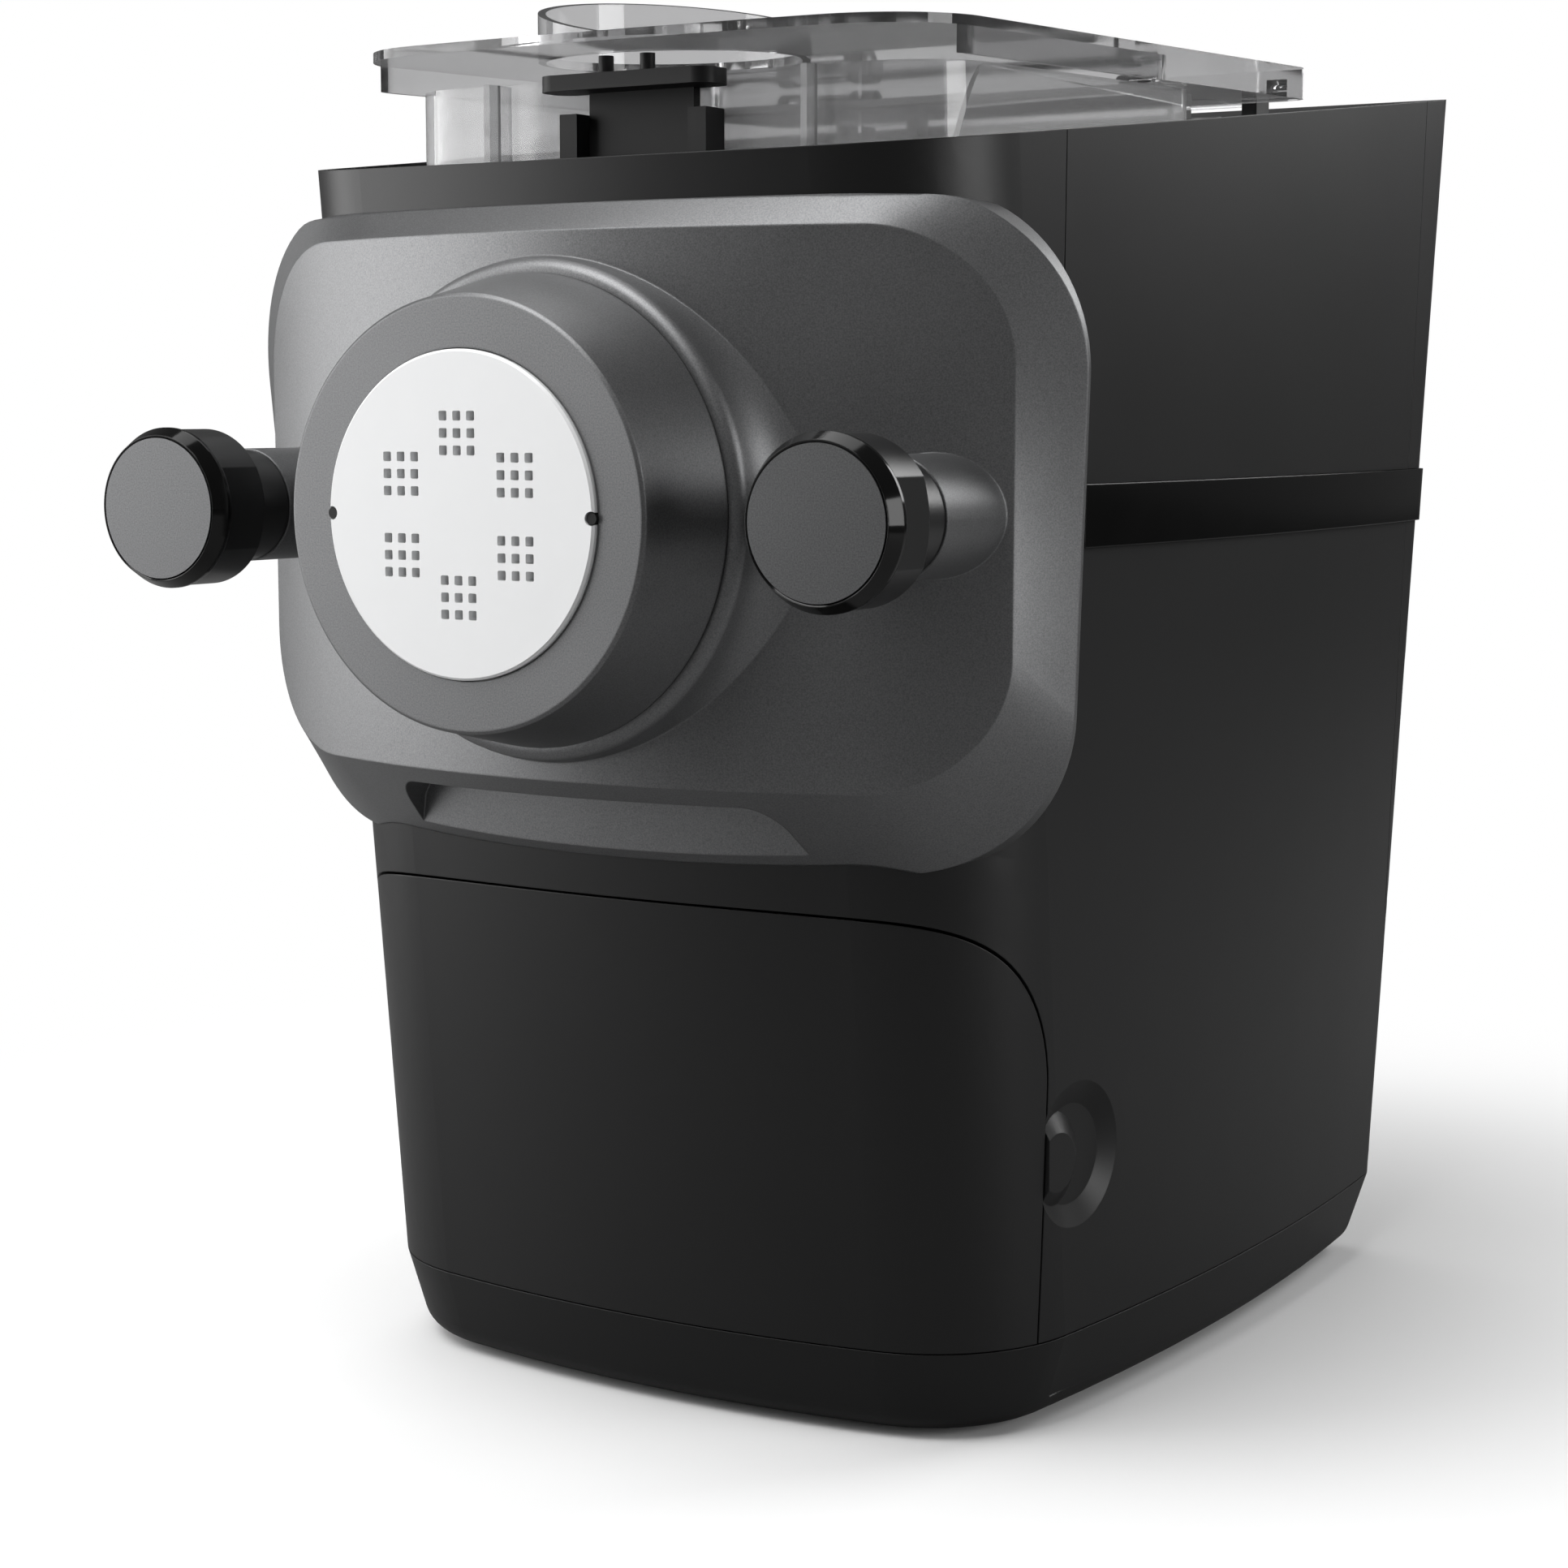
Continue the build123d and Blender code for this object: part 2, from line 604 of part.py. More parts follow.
with BuildPart() as front_panel:
    add(panel_outside)
    with BuildSketch(Plane.XY.offset(axis_z)) as collar:
        with BuildLine() as collar_line:
            Polyline((collar_hole, behind(collar_end)), (collar_hole, behind(collar_front)),
                     (collar_top, behind(collar_front)))
            ThreePointArc((collar_top, behind(collar_front)), (collar_top + 2.2, behind(collar_front + 1.0)),
                          (collar_top + 3.2, behind(collar_front + 3.2)))
            ThreePointArc((collar_top + 3.2, behind(collar_front + 3.2)), (collar_mid[0], behind(collar_mid[1])),
                          (collar_radius, behind(collar_back)))
            Polyline((collar_radius, behind(collar_back)), (collar_radius, behind(collar_end)),
                     (collar_hole, behind(collar_end)))
        make_face(collar_line.edges())
    revolve(collar.sketch, axis=Axis((0, 0, axis_z), (0, 1, 0)))
    for x in (-knob_x, knob_x):
        rod_along_y(knob_boss_radius, behind(knob_boss_front), behind(panel_back), x=x)
    add(panel_inside, mode=Mode.SUBTRACT)
    add(pocket_backing.part)
    add(pocket_block(0), mode=Mode.SUBTRACT)
    body_block(panel_low - 20, high_z, -slip_gap, mode=Mode.SUBTRACT)
    bore_along_y(tube_radius + sliding_gap, behind(collar_front), behind(collar_end))
    for x in (-knob_x, knob_x):
        bore_along_y(rod_radius + sliding_gap, behind(knob_boss_front), shell_seam_y, x=x)
finish(front_panel, "front_panel")

# ==== shaping disc and its ring ===========================================
ring_front = -0.78
ring_face_radius = 53.0
ring_edge = 0.8
ring_back_radius = 59.6
ring_back = collar_front - slip_gap
ring_opening = 40.6
ring_lip_back = 1.7
ring_bore = tube_radius + 0.5
nib_radius = 1.4
nib_length = 1.1          # ahead of the ring's face
nib_x = 39.4
disc_radius = 40.3
disc_flange_radius = 42.8
disc_back = 5.0
hole_size = 2.4
hole_rounding = 0.4
hole_pitch = 4.2
hole_circle = 20.0

with BuildPart() as disc_ring:
    turned([(ring_opening, ring_front), (ring_face_radius, ring_front),
            (ring_face_radius + ring_edge, ring_front + ring_edge), (ring_back_radius, ring_back),
            (ring_bore, ring_back), (ring_bore, ring_lip_back), (ring_opening, ring_lip_back)])
    for x in (-nib_x, nib_x):
        bore_along_y(nib_radius, behind(ring_front), behind(ring_lip_back), x=x)
finish(disc_ring, "disc_ring")

with BuildPart() as ring_nibs:
    for x in (-nib_x, nib_x):
        rod_along_y(nib_radius, behind(ring_front - nib_length), behind(ring_lip_back), x=x)
finish(ring_nibs, "ring_nibs")

with BuildPart() as shaping_disc:
    turned([(0, -disc_proud), (disc_radius - 0.6, -disc_proud), (disc_radius, 0.6 - disc_proud),
            (disc_radius, ring_lip_back + slip_gap), (disc_flange_radius, ring_lip_back + slip_gap),
            (disc_flange_radius, disc_back), (0, disc_back)])
    with BuildSketch(Plane.XZ.offset(-behind(disc_back + 1))) as die_holes:
        with Locations((0, axis_z)):
            with PolarLocations(hole_circle, 6, start_angle=30, rotate=False):
                with GridLocations(hole_pitch, hole_pitch, 3, 3):
                    RectangleRounded(hole_size, hole_size, hole_rounding)
    extrude(die_holes.sketch, amount=disc_back + disc_proud + 2, mode=Mode.SUBTRACT)
    for x in (-nib_x, nib_x):
        rod_along_y(nib_radius + slip_gap, behind(-disc_proud - through), behind(ring_lip_back + slip_gap), x=x,
                    mode=Mode.SUBTRACT)
finish(shaping_disc, "shaping_disc")

# ==== clamping knobs and tie rods =========================================
cap_radius = 18.3
bezel_radius = 21.0
bezel_depth = 5.0
grip_radius = 20.5
grip_back = 22.0
grip_chamfer = 3.0
grip_flat = 17.5
neck_radius = 14.8
neck_back = knob_boss_front - slip_gap
rod_front = 8.0
bracket_back = 96.0

for x, side_name in ((-knob_x, "left"), (knob_x, "right")):
    with BuildPart() as knob:
        turned([(0, bezel_depth), (grip_radius, bezel_depth), (grip_radius, grip_back - grip_chamfer),
                (grip_radius - grip_chamfer, grip_back), (neck_radius, grip_back), (neck_radius, neck_back),
                (0, neck_back)], x=x)
        for side in (-1, 1):
            block(20, behind(bezel_depth), behind(grip_back), axis_z - 40, axis_z + 40,
                  x=x + side * (grip_flat + 10), mode=Mode.SUBTRACT)
        bore_along_y(rod_radius + running_gap, behind(rod_front + through), behind(neck_back), x=x)
    finish(knob, side_name + "_knob")
    with BuildPart() as bezel:
        turned([(cap_radius + 0.05, 0.4), (cap_radius + 0.7, 0), (bezel_radius, bezel_depth - 1.2),
                (bezel_radius, bezel_depth), (cap_radius + 0.05, bezel_depth)], x=x)
    finish(bezel, side_name + "_knob_bezel")
    with BuildPart() as cap:
        rod_along_y(cap_radius, behind(0), behind(bezel_depth), x=x)
    finish(cap, side_name + "_knob_cap")

with BuildPart() as tie_rods:
    for x in (-knob_x, knob_x):
        rod_along_y(rod_radius, behind(rod_front + 0.5), behind(bracket_back), x=x)
finish(tie_rods, "tie_rods")

# ==== front bulkhead ======================================================
bulkhead_front = 79.0
bulkhead_low = 146.0
bulkhead_high = 296.0
bulkhead_back = 83.0
arm_inner_x = 84.0

with BuildPart() as bulkhead:
    block(300, behind(bulkhead_front), behind(bulkhead_back), bulkhead_low, bulkhead_high)
    for side in (-1, 1):
        block(30, behind(bulkhead_front), behind(bracket_back), axis_z - 15, axis_z + 15,
              x=side * (arm_inner_x + 15))
    body_block(bulkhead_low - through, high_z, wall + slip_gap, mode=Mode.INTERSECT)
    bore_along_y(tube_radius + slip_gap, behind(bulkhead_front), behind(bulkhead_back))
    for x in (-knob_x, knob_x):
        bore_along_y(rod_radius + running_gap, behind(bulkhead_front), behind(bracket_back), x=x)
finish(bulkhead, "front_bulkhead")

# ==== mixing chamber and extrusion tube ===================================
tube_front = disc_back + slip_gap
shaft_radius = 8.0
screw_core = 12.0
paddle_back_y = chamber_back_y - 8.0
rib_x = 50.0              # upright ribs on the front wall
rib_width = 2.0
rib_depth = 5.0
rib_low = 298.0
seal_radius = 15.0
seal_length = 5.0
lid_front = 60.0
lid_slope = 0.033
lid_low_z = 360.5         # lower edge of the lid at the line below
lid_line = 91.0
lid_height = 9.5
lid_plane = Plane(origin=(0, behind(lid_line), lid_low_z), x_dir=(1, 0, 0), z_dir=(0, -lid_slope, 1))
chamber_outside = chamber_block()
chamber_inside = chamber_block(-chamber_wall)

with BuildPart() as mixing_chamber:
    add(chamber_outside)
    add(chamber_inside, mode=Mode.SUBTRACT)
    for side in (-1, 1):
        block(rib_width, chamber_front_y - rib_depth, chamber_front_y, rib_low, lid_low_z, x=side * rib_x)
    split(bisect_by=lid_plane.offset(-0.5), keep=Keep.BOTTOM)
    bore_along_y(tube_bore, chamber_front_y, chamber_front_y + chamber_wall)
    bore_along_y(seal_radius, chamber_back_y - chamber_wall, chamber_back_y)
finish(mixing_chamber, "mixing_chamber")

with BuildPart() as shaft_seal:
    rod_along_y(seal_radius, chamber_back_y - seal_length, chamber_back_y)
    bore_along_y(shaft_radius + running_gap, chamber_back_y - seal_length, chamber_back_y)
finish(shaft_seal, "shaft_seal")

with BuildPart() as extrusion_tube:
    turned([(tube_bore, tube_front), (tube_radius, tube_front), (tube_radius, bulkhead_back),
            (tube_bore, bulkhead_back)])
finish(extrusion_tube, "extrusion_tube")

# ==== lid =================================================================
lid_half_front = 92.0
lid_half_back = 94.5
lid_back_y = hinge_y - 6.5
lid_corner = 31.0
lid_bow = 5.0
lid_wall = 2.5
spout_x = -22.0
spout_y = 128.0
spout_radius = 38.0
spout_wall = 2.2
spout_rim_z = 379.7       # height of the sloping spout rim at its axis
spout_slope_x = -0.185    # rise of that rim per mm to the right
spout_slope_y = 0.171     # and per mm towards the rear
notch_half = 24.0


def lid_outline(inset=0.0):
    """Plan outline of the lid, for the open sketch."""
    front = behind(lid_front) + inset
    back = lid_back_y - inset
    with BuildLine() as outline:
        ThreePointArc((-lid_half_front + inset, front + lid_bow), (0, front),
                      (lid_half_front - inset, front + lid_bow))
        Polyline((lid_half_front - inset, front + lid_bow), (lid_half_back - inset, back),
                 (-lid_half_back + inset, back), (-lid_half_front + inset, front + lid_bow))
    make_face(outline.edges())
    fillet(vertices().group_by(Axis.Y)[0], lid_corner - inset)
    fillet(vertices().group_by(Axis.Y)[-1], 8 - inset)


spout_cut = Plane(origin=(spout_x, behind(spout_y), spout_rim_z), z_dir=(-spout_slope_x, -spout_slope_y, 1))
with BuildPart() as spout_ring:
    with BuildSketch(Plane.XY.offset(lid_low_z + lid_height - 1)):
        with Locations((spout_x, behind(spout_y))):
            Circle(spout_radius)
    extrude(amount=60)
    split(bisect_by=spout_cut, keep=Keep.BOTTOM)

with BuildPart() as lid:
    with BuildSketch(Plane.XY.offset(350)) as lid_outside:
        lid_outline()
    extrude(lid_outside.sketch, amount=60)
    split(bisect_by=lid_plane.offset(lid_height), keep=Keep.BOTTOM)
    split(bisect_by=lid_plane, keep=Keep.TOP)
    with BuildSketch(lid_plane.offset(-1)) as lid_hollow:
        with Locations((0, -behind(lid_line))):
            lid_outline(lid_wall)
    extrude(lid_hollow.sketch, amount=lid_height - lid_wall + 1, mode=Mode.SUBTRACT)
    add(spout_ring.part)
    with BuildSketch(Plane.XY.offset(340)) as spout_hole:
        with Locations((spout_x, behind(spout_y))):
            Circle(spout_radius - spout_wall)
    extrude(spout_hole.sketch, amount=90, mode=Mode.SUBTRACT)
    block(2 * notch_half, behind(lid_front - 5), behind(lid_front + 12), 350, lid_low_z + 5,
          mode=Mode.SUBTRACT)
    for side in (-1, 1):
        block(hinge_length, lid_back_y - 2, hinge_y, hinge_z - 2.5, hinge_z + 3, x=side * hinge_x)
        with Locations((side * hinge_x, hinge_y, hinge_z)):
            Cylinder(hinge_barrel, hinge_length, rotation=(0, 90, 0))
            Cylinder(hinge_pin_radius + running_gap, hinge_length + 2, rotation=(0, 90, 0),
                     mode=Mode.SUBTRACT)
finish(lid, "lid")

# ==== lid latch ===========================================================
latch_pivot_z = 320.0
latch_pivot_y = behind(78.4)
latch_pin_radius = 2.0
latch_half = 16.5
latch_tab_half = 27.0
rail_inner_x = 17.5
rail_outer_x = 23.0
rail_front = 74.0

with BuildPart() as lid_latch:
    block(2 * latch_half, behind(78.5), behind(81.5), latch_pivot_z, 358)
    with BuildSketch(Plane.XY.offset(355.5)) as tab:
        with Locations((0, behind(75.0))):
            RectangleRounded(2 * latch_tab_half, 13, 5)
    extrude(tab.sketch, amount=4.1)
    for x in (-6.5, 6.5):
        with Locations((x, behind(72), 361)):
            Cylinder(2.0, 6)
    with Locations((0, latch_pivot_y, latch_pivot_z)):
        Cylinder(4.2, 2 * latch_half, rotation=(0, 90, 0))
        Cylinder(latch_pin_radius + running_gap, 2 * latch_half + 2, rotation=(0, 90, 0), mode=Mode.SUBTRACT)
finish(lid_latch, "lid_latch")

with BuildPart() as latch_rails:
    for side in (-1, 1):
        block(rail_outer_x - rail_inner_x, behind(rail_front), chamber_front_y, bulkhead_high + 4, 350,
              x=side * (rail_inner_x + rail_outer_x) / 2)
        with Locations((side * (rail_inner_x + rail_outer_x) / 2, latch_pivot_y, latch_pivot_z)):
            Cylinder(latch_pin_radius, 40, rotation=(0, 90, 0), mode=Mode.SUBTRACT)
finish(latch_rails, "latch_rails")

with BuildPart() as latch_pin:
    with Locations((0, latch_pivot_y, latch_pivot_z)):
        Cylinder(latch_pin_radius, 2 * rail_outer_x, rotation=(0, 90, 0))
finish(latch_pin, "latch_pin")

# ==== screw, paddle and drive shaft =======================================
screw_front = 8.0
screw_back = 98.0
shaft_grip = 20.0         # how far the shaft reaches into the screw
flight_radius = 36.0
flight_pitch = 30.0
flight_thickness = 4.0
paddle_sweep = 64.0
arm_radius = 4.0
arm_count = 4
first_arm_y = behind(screw_back + 20.0)
arm_pitch = (paddle_back_y - 18.0 - first_arm_y) / (arm_count - 1)
plate_front = chamber_back_y + 22.0 - cap_y     # gear plate
plate_back = plate_front + 6.0
plate_half = 60.0
plate_top = 305.0
first_gear_front = plate_back + 4.0
first_gear_back = first_gear_front + 10.0
second_gear_front = first_gear_back + 2.0
second_gear_back = second_gear_front + 12.0
cover_back = second_gear_back + 8.0     # gearbox cover

with BuildPart() as extrusion_screw:
    rod_along_y(screw_core, behind(screw_front), behind(screw_back))
    turns = (screw_back - screw_front - flight_thickness - 2) / flight_pitch
    with BuildLine(mode=Mode.PRIVATE) as flight_path:
        Helix(pitch=flight_pitch, height=turns * flight_pitch, radius=screw_core,
              center=(0, behind(screw_front) + flight_thickness / 2 + 1, axis_z), direction=(0, 1, 0))
    flight_plane = Plane(origin=flight_path.line @ 0, x_dir=((flight_path.line @ 0) - Vector(
        0, (flight_path.line @ 0).Y, axis_z)), z_dir=flight_path.line % 0)
    with BuildSketch(flight_plane) as flight_section:
        with Locations(((flight_radius - screw_core) / 2 - 0.5, 0)):
            Rectangle(flight_radius - screw_core + 1, flight_thickness)
    sweep(flight_section.sketch, path=flight_path.line, is_frenet=True)
    rod_along_y(shaft_radius, behind(screw_back - shaft_grip), behind(screw_back + through), mode=Mode.SUBTRACT)
finish(extrusion_screw, "extrusion_screw")

with BuildPart() as mixing_paddle:
    rod_along_y(screw_core, behind(screw_back), paddle_back_y)
    for number in range(arm_count):
        with Locations(Plane(origin=(0, first_arm_y + number * arm_pitch, axis_z), x_dir=(1, 0, 0),
                             z_dir=(0, -1, 0))):
            with Locations(Rotation(0, 0, 180 / arm_count * number)):
                Cylinder(arm_radius, 2 * paddle_sweep, rotation=(90, 0, 0))
    bore_along_y(shaft_radius, behind(screw_back), paddle_back_y)
finish(mixing_paddle, "mixing_paddle")

with BuildPart() as drive_shaft:
    rod_along_y(shaft_radius, behind(screw_back - shaft_grip), behind(cover_back - 1))
finish(drive_shaft, "drive_shaft")

# ==== gears ===============================================================
module = 1.75
large_teeth = 50
small_teeth = 16
pressure_angle = radians(20)
tooth_play = 0.28
addendum = 0.9
dedendum = 1.25
gear_spacing = module * (large_teeth + small_teeth) / 2
idler_z = axis_z - gear_spacing
motor_z = idler_z - gear_spacing
idler_pin_radius = 5.0
motor_shaft_radius = 4.0
pinion_reach = 20.0       # how far the pinion's shaft goes into the motor


def involute(angle):
    """Involute function of a pressure angle in radians."""
    return tan(angle) - angle


def gear(teeth, y_low, y_high, z, tooth_angle, bore):
    """Spur gear with one tooth at the angle given, as a part of its own."""
    pitch_radius = module * teeth / 2
    base_radius = pitch_radius * cos(pressure_angle)
    root_radius = pitch_radius - dedendum * module
    tip_radius = pitch_radius + addendum * module
    start_radius = max(base_radius + 0.01, root_radius + 0.01)
    half_angle = (pi * module / 2 - tooth_play) / 2 / pitch_radius

    def flank(radius, side):
        turn = half_angle + involute(pressure_angle) - involute(atan(sqrt((radius / base_radius) ** 2 - 1)))
        return (radius * cos(turn), side * radius * sin(turn))

    middle_radius = (start_radius + tip_radius) / 2
    foot = root_radius - 0.5
    foot_turn = atan(flank(start_radius, 1)[1] / flank(start_radius, 1)[0])
    with BuildPart() as wheel:
        with BuildSketch(Plane.XY) as tooth:
            with BuildLine() as outline:
                ThreePointArc(flank(start_radius, 1), flank(middle_radius, 1), flank(tip_radius, 1))
                Line(flank(tip_radius, 1), flank(tip_radius, -1))
                ThreePointArc(flank(tip_radius, -1), flank(middle_radius, -1), flank(start_radius, -1))
                Polyline(flank(start_radius, -1), (foot * cos(foot_turn), -foot * sin(foot_turn)),
                         (foot * cos(foot_turn), foot * sin(foot_turn)), flank(start_radius, 1))
            make_face(outline.edges())
        wheel_plane = Plane(origin=(0, y_high, z), x_dir=(1, 0, 0), z_dir=(0, -1, 0))
        with BuildSketch(wheel_plane) as teeth_and_root:
            Circle(root_radius)
            with PolarLocations(0, teeth, start_angle=tooth_angle):
                add(tooth.sketch_local)
            Circle(bore, mode=Mode.SUBTRACT)
        extrude(teeth_and_root.sketch, amount=y_high - y_low)
    return wheel.part


half_step = 180 / large_teeth
with BuildPart() as output_gear:
    add(gear(large_teeth, behind(second_gear_front), behind(second_gear_back), axis_z, half_step - 90,
             shaft_radius))
finish(output_gear, "output_gear")

with BuildPart() as idler_gear:
    add(gear(large_teeth, behind(first_gear_front), behind(first_gear_back), idler_z, half_step - 90,
             idler_pin_radius + running_gap))
    add(gear(small_teeth, behind(first_gear_back), behind(second_gear_back), idler_z, 90,
             idler_pin_radius + running_gap))
finish(idler_gear, "idler_gear")

with BuildPart() as motor_pinion:
    add(gear(small_teeth, behind(first_gear_front), behind(first_gear_back), motor_z, 90,
             motor_shaft_radius))
    rod_along_y(motor_shaft_radius, behind(plate_front - pinion_reach), behind(first_gear_back), z=motor_z)
finish(motor_pinion, "motor_pinion")

with BuildPart() as idler_pin:
    rod_along_y(idler_pin_radius, behind(plate_front), behind(cover_back), z=idler_z)
finish(idler_pin, "idler_pin")

# ==== gear plate, gearbox cover, bearing, seal and motor ==================
bearing_radius = 14.0
motor_radius = 38.0
motor_front = plate_front - 84.0
cover_wall = 2.5
cover_floor = 4.0
gearbox_corner = 20.0
gearbox_half = 52.0
gearbox_low = motor_z - 24
gearbox_high = axis_z + gearbox_half
tray_top = tray_bottom + tray_floor

with BuildPart() as gear_plate:
    block(2 * plate_half, behind(plate_front), behind(plate_back), tray_top, plate_top)
    bore_along_y(bearing_radius, behind(plate_front), behind(plate_back))
    bore_along_y(idler_pin_radius, behind(plate_front), behind(plate_back), z=idler_z)
    bore_along_y(motor_shaft_radius + 6, behind(plate_front), behind(plate_back), z=motor_z)
finish(gear_plate, "gear_plate")

with BuildPart() as gearbox_cover:
    block(2 * gearbox_half, behind(plate_back), behind(cover_back), gearbox_low, gearbox_high)
    fillet(gearbox_cover.edges().filter_by(Axis.Y), gearbox_corner)
    inner_height = gearbox_high - gearbox_low - 2 * cover_wall
    inner_z = (gearbox_high + gearbox_low) / 2
    with BuildSketch(Plane.XZ.offset(-behind(cover_back - cover_floor))) as gear_room:
        with Locations((0, inner_z)):
            RectangleRounded(2 * (gearbox_half - cover_wall), inner_height, gearbox_corner - cover_wall)
    extrude(gear_room.sketch, amount=cover_back - plate_back, mode=Mode.SUBTRACT)
    bore_along_y(shaft_radius + running_gap, behind(plate_back), behind(cover_back))
    bore_along_y(idler_pin_radius, behind(plate_back), behind(cover_back), z=idler_z)
finish(gearbox_cover, "gearbox_cover")

with BuildPart() as shaft_bearing:
    rod_along_y(bearing_radius, chamber_back_y, behind(plate_back))
    bore_along_y(shaft_radius + running_gap, chamber_back_y, behind(plate_back))
finish(shaft_bearing, "shaft_bearing")

with BuildPart() as motor:
    rod_along_y(motor_radius, behind(motor_front), behind(plate_front), z=motor_z)
    fillet(motor.edges().filter_by(GeomType.CIRCLE), 3)
    rod_along_y(motor_radius - 18, behind(motor_front - 8), behind(motor_front), z=motor_z)
    bore_along_y(motor_shaft_radius + running_gap, behind(plate_front - pinion_reach), behind(plate_front),
                 z=motor_z)
finish(motor, "motor")

with BuildPart() as motor_cradle:
    block(50, behind(motor_front + 20), behind(motor_front + 70), tray_top, motor_z - 25)
    block(42, behind(motor_front), behind(plate_front), 0, motor_z - motor_radius - 8, mode=Mode.SUBTRACT)
    rod_along_y(motor_radius + slip_gap, behind(motor_front), behind(plate_front), z=motor_z,
                mode=Mode.SUBTRACT)
finish(motor_cradle, "motor_cradle")

# ==== drawer ==============================================================
box_half = 88.0
box_wall = 2.0
box_front = 70.0
box_back = 163.0
box_low = 31.0
box_high = 134.0
bay_wall = 2.5
bay_front = 110.0
box_slip = 1.0

with BuildPart() as drawer_front:
    body_block(seam_z + seam_gap, drawer_top_z)
    body_block(seam_z + seam_gap + drawer_front_wall, drawer_top_z - drawer_front_wall, drawer_front_wall,
               mode=Mode.SUBTRACT)
    with BuildSketch(Plane.YZ.offset(-200)) as drawer_shape:
        drawer_side_profile(-seam_gap / 2)
    extrude(drawer_shape.sketch, amount=400, mode=Mode.INTERSECT)
finish(drawer_front, "drawer_front")

with BuildPart() as box_room:
    block(2 * (box_half - box_wall), behind(box_front), behind(box_back - box_wall), box_low + box_wall,
          box_high + 20)
    body_block(20, 200, drawer_front_wall + slip_gap + box_wall, mode=Mode.INTERSECT)

with BuildPart() as drawer_box:
    block(2 * box_half, behind(box_front), behind(box_back), box_low, box_high)
    body_block(20, 200, drawer_front_wall + slip_gap, mode=Mode.INTERSECT)
    add(box_room.part, mode=Mode.SUBTRACT)
finish(drawer_box, "drawer_box")

with BuildPart() as drawer_bay:
    bay_half = box_half + box_slip
    bay_floor = box_low - slip_gap
    bay_top = box_high + box_slip
    block(2 * (bay_half + bay_wall), behind(bay_front), behind(box_back + box_slip + bay_wall), tray_top,
          bay_top + bay_wall)
    block(2 * bay_half, behind(bay_front - 5), behind(box_back + box_slip), bay_floor, bay_top,
          mode=Mode.SUBTRACT)
    block(2 * bay_half, behind(bay_front - 5), behind(box_back + 20), 0, bay_floor - bay_wall,
          mode=Mode.SUBTRACT)
finish(drawer_bay, "drawer_bay")

# ==== electrical parts ====================================================
board_z = 14.0
board_width = 100.0
board_depth = 44.0
board_mid_y = back_low_y - 41.5
board_thickness = 1.6

with BuildPart() as power_board:
    block(board_width, board_mid_y - board_depth / 2, board_mid_y + board_depth / 2, board_z,
          board_z + board_thickness)
    with Locations((0, board_mid_y, tray_top)):
        with GridLocations(board_width - 10, board_depth - 10, 2, 2):
            Cylinder(3, board_z - tray_top, align=(Align.CENTER, Align.CENTER, Align.MIN))
    with Locations((-28, board_mid_y, board_z + board_thickness)):
        Box(30, 26, 27, align=(Align.CENTER, Align.CENTER, Align.MIN))
    with Locations((2, board_mid_y - 8, board_z + board_thickness), (2, board_mid_y + 10,
                                                                   board_z + board_thickness)):
        Cylinder(7.5, 24, align=(Align.CENTER, Align.CENTER, Align.MIN))
    with Locations((28, board_mid_y, board_z + board_thickness)):
        Box(19, 30, 15, align=(Align.CENTER, Align.CENTER, Align.MIN))
finish(power_board, "power_board")

fitting_flange = 2.0
socket_depth = 24.0
socket_room_width = 24.0
socket_room_height = 16.0
socket_room_depth = 17.0
contact_width = 2.0
contact_height = 5.0
rocker_width = 15.4
rocker_height = 22.0

with BuildPart() as power_inlet:
    with BuildSketch(rear_fitting_plane(inlet_x)):
        Rectangle(inlet_width + 4, inlet_height + 4)
    extrude(amount=fitting_flange)
    with BuildSketch(rear_fitting_plane(inlet_x)):
        Rectangle(inlet_width - 2 * slip_gap, inlet_height - 2 * slip_gap)
    extrude(amount=-socket_depth)
    with BuildSketch(rear_fitting_plane(inlet_x).offset(fitting_flange)):
        Rectangle(socket_room_width, socket_room_height)
    extrude(amount=-socket_room_depth - fitting_flange, mode=Mode.SUBTRACT)
    with BuildSketch(rear_fitting_plane(inlet_x).offset(-socket_room_depth)):
        with Locations((-7, 3), (7, 3), (0, -3)):
            Rectangle(contact_width, contact_height)
    extrude(amount=socket_room_depth - 2)
finish(power_inlet, "power_inlet")

with BuildPart() as switch_frame:
    with BuildSketch(rear_fitting_plane(switch_x)):
        Rectangle(switch_width + 4, switch_height + 4)
    extrude(amount=fitting_flange)
    with BuildSketch(rear_fitting_plane(switch_x)):
        Rectangle(switch_width - 2 * slip_gap, switch_height - 2 * slip_gap)
    extrude(amount=-16)
    with BuildSketch(rear_fitting_plane(switch_x).offset(fitting_flange)):
        Rectangle(rocker_width + 1, rocker_height + 2)
    extrude(amount=-fitting_flange - 13, mode=Mode.SUBTRACT)
finish(switch_frame, "switch_frame")

with BuildPart() as power_rocker:
    with BuildSketch(rear_fitting_plane(switch_x).offset(-4)):
        RectangleRounded(rocker_width, rocker_height, 1.5)
    extrude(amount=fitting_flange + 6)
    with Locations((switch_x, rear_fitting_plane(switch_x).origin.Y, rear_fitting_z)):
        Cylinder(1.2, rocker_width + 0.8, rotation=(0, 90, 0))
finish(power_rocker, "power_rocker")

with BuildPart() as rear_screws:
    for x, z in screw_places:
        with BuildSketch(rear_fitting_plane(x, z)):
            Circle(screw_head_radius)
        extrude(amount=1.6)
        with BuildSketch(rear_fitting_plane(x, z)):
            Circle(screw_shank_radius)
        extrude(amount=-8)
finish(rear_screws, "rear_screws")
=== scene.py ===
"""Looks of a countertop electric pasta maker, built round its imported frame."""
import json
from math import cos, radians, sin

